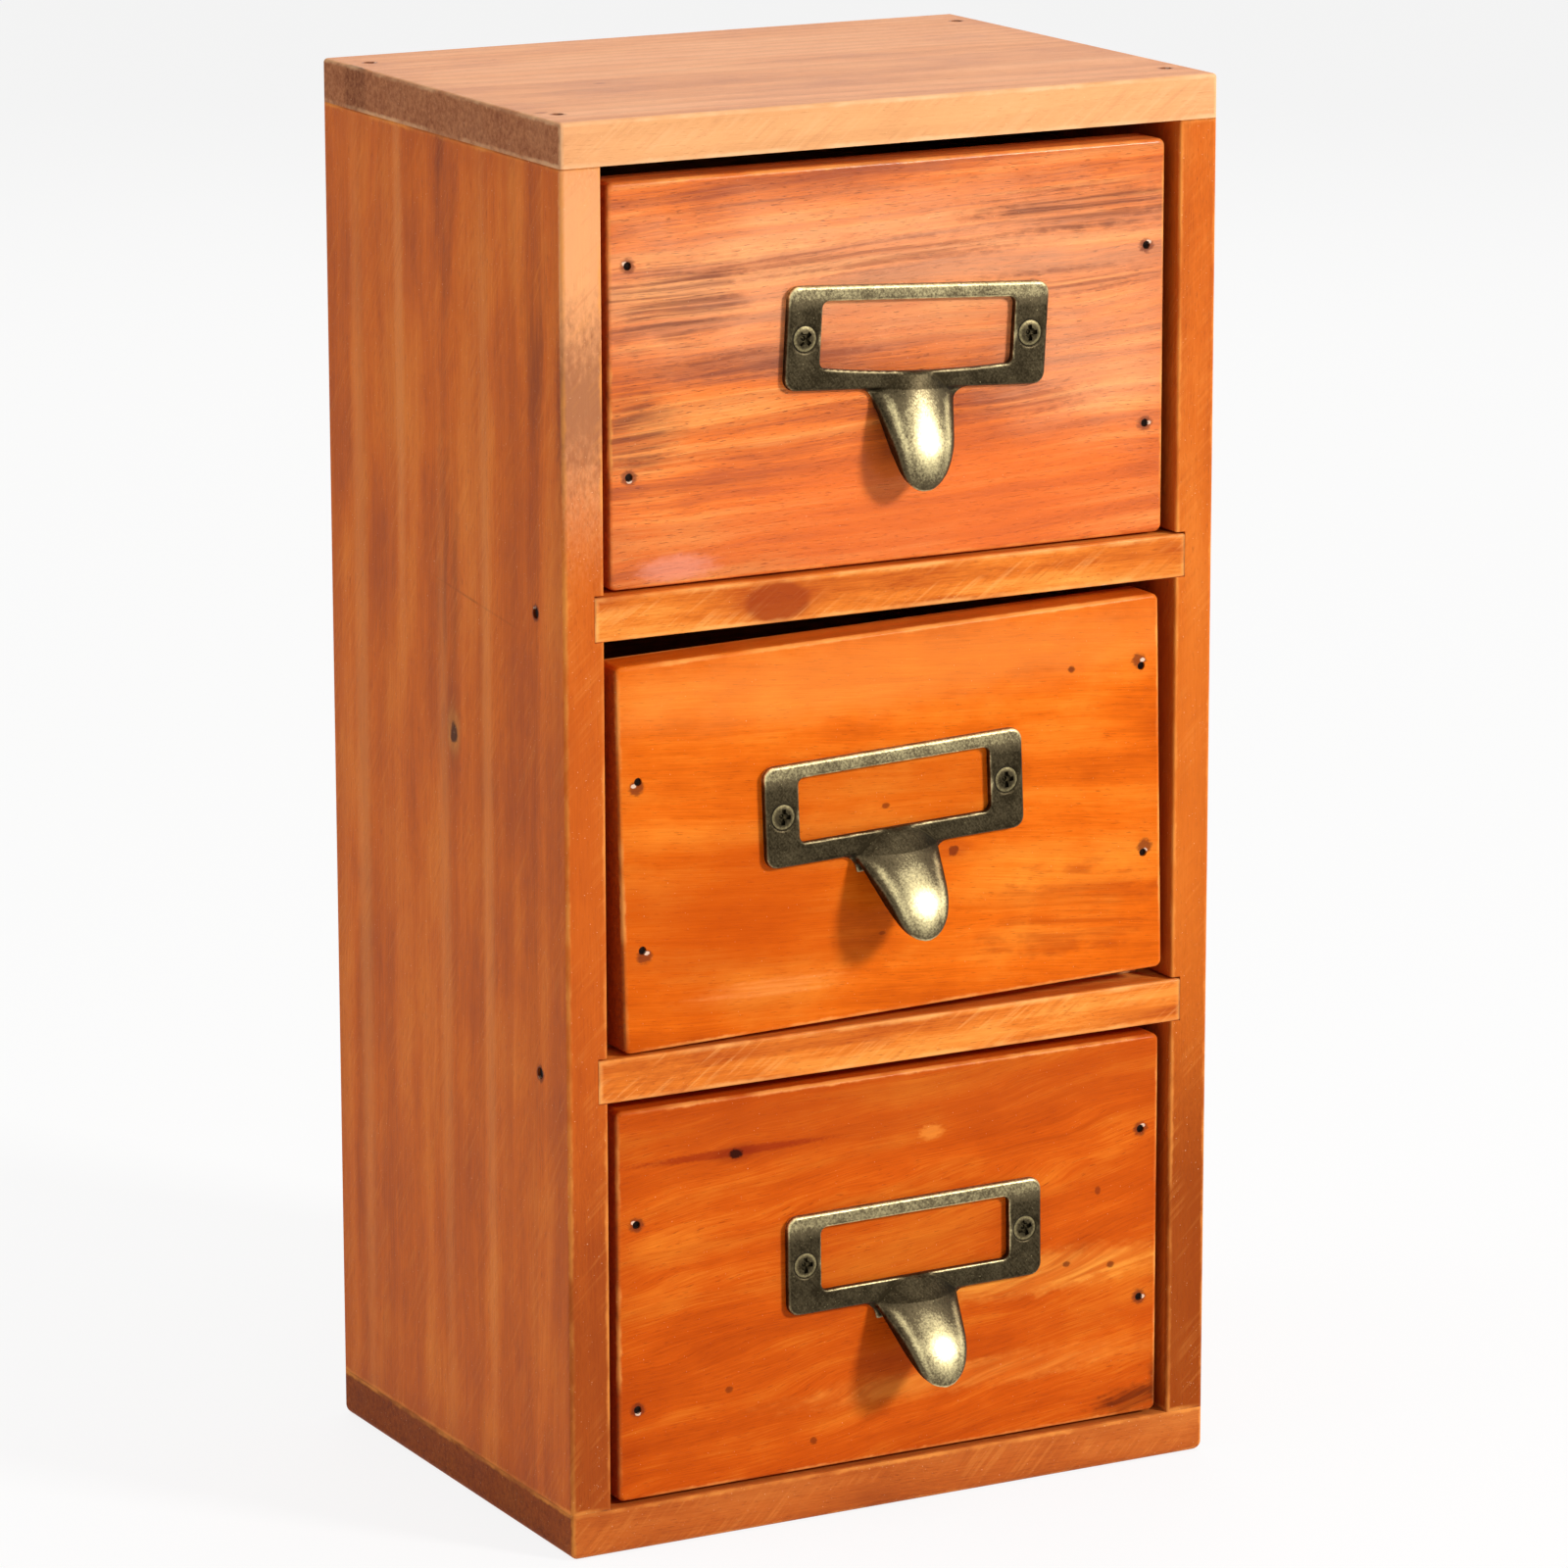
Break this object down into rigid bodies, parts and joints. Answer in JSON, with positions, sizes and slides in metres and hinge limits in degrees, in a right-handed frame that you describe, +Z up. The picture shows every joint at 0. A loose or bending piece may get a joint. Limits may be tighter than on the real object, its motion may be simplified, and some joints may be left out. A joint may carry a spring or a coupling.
{
  "type": "seed storage cabinet",
  "caption": "Small upright tabletop cabinet in stained wood with drawers stacked above each other, each with a brass label-holder pull.",
  "frame": {"origin": "centre of the rectangular face that the cabinet stands on, drawers shut", "axes": "+Z up, the drawers face and open towards -Y, +X is on the right of someone facing the drawers"},
  "size_m": [0.1526, 0.1264, 0.3],
  "materials": {
    "top_wood": "red-brown stain under worn satin varnish, lighter on the top face",
    "bottom_wood": "red-orange stain under satin varnish, dark end grain",
    "side_wood": "streaked red-brown stain under satin varnish, rubbed light on the edges",
    "divider_wood": "bright orange stain, sanded yellow along the edges",
    "bottom_drawer_wood": "orange stain with golden figure and dark pin knots",
    "middle_drawer_wood": "even vivid orange stain, small specks",
    "top_drawer_wood": "orange-red stain with wavy purple-brown streaks and open pores",
    "drawer_box_wood": "plain softwood with a thin coat of stain",
    "thin_panel": "thin plywood, lightly stained",
    "antique_brass": "aged dark brass, rubbed bright on the edges and on the tongue",
    "screw_bronze": "aged brass plating",
    "nail_steel": "dull bright wire"
  },
  "bodies": {
    "case": {"top_board": "top_wood", "bottom_board": "bottom_wood", "left_side": "side_wood", "right_side": "side_wood", "lower_divider": "divider_wood", "upper_divider": "divider_wood", "back_panel": "thin_panel", "top_board_nails": "nail_steel", "bottom_board_nails": "nail_steel", "divider_nails": "nail_steel", "back_panel_brads": "nail_steel"},
    "bottom_drawer": {"bottom_drawer_front": "bottom_drawer_wood", "bottom_drawer_left_side": "drawer_box_wood", "bottom_drawer_right_side": "drawer_box_wood", "bottom_drawer_back": "drawer_box_wood", "bottom_drawer_bottom_panel": "thin_panel", "bottom_drawer_label_pull": "antique_brass", "bottom_drawer_pull_screws": "screw_bronze", "bottom_drawer_front_brads": "nail_steel", "bottom_drawer_back_brads": "nail_steel", "bottom_drawer_bottom_brads": "nail_steel"},
    "middle_drawer": {"middle_drawer_front": "middle_drawer_wood", "middle_drawer_left_side": "drawer_box_wood", "middle_drawer_right_side": "drawer_box_wood", "middle_drawer_back": "drawer_box_wood", "middle_drawer_bottom_panel": "thin_panel", "middle_drawer_label_pull": "antique_brass", "middle_drawer_pull_screws": "screw_bronze", "middle_drawer_front_brads": "nail_steel", "middle_drawer_back_brads": "nail_steel", "middle_drawer_bottom_brads": "nail_steel"},
    "top_drawer": {"top_drawer_front": "top_drawer_wood", "top_drawer_left_side": "drawer_box_wood", "top_drawer_right_side": "drawer_box_wood", "top_drawer_back": "drawer_box_wood", "top_drawer_bottom_panel": "thin_panel", "top_drawer_label_pull": "antique_brass", "top_drawer_pull_screws": "screw_bronze", "top_drawer_front_brads": "nail_steel", "top_drawer_back_brads": "nail_steel", "top_drawer_bottom_brads": "nail_steel"}
  },
  "joints": [
    {"name": "bottom_drawer_slide", "type": "slide", "parent": "case", "child": "bottom_drawer", "axis": [0, -1, 0], "range_m": [-0.001, 0.095]},
    {"name": "middle_drawer_slide", "type": "slide", "parent": "case", "child": "middle_drawer", "axis": [0, -1, 0], "range_m": [-0.002, 0.095]},
    {"name": "top_drawer_slide", "type": "slide", "parent": "case", "child": "top_drawer", "axis": [0, -1, 0], "range_m": [0, 0.095]}
  ]
}
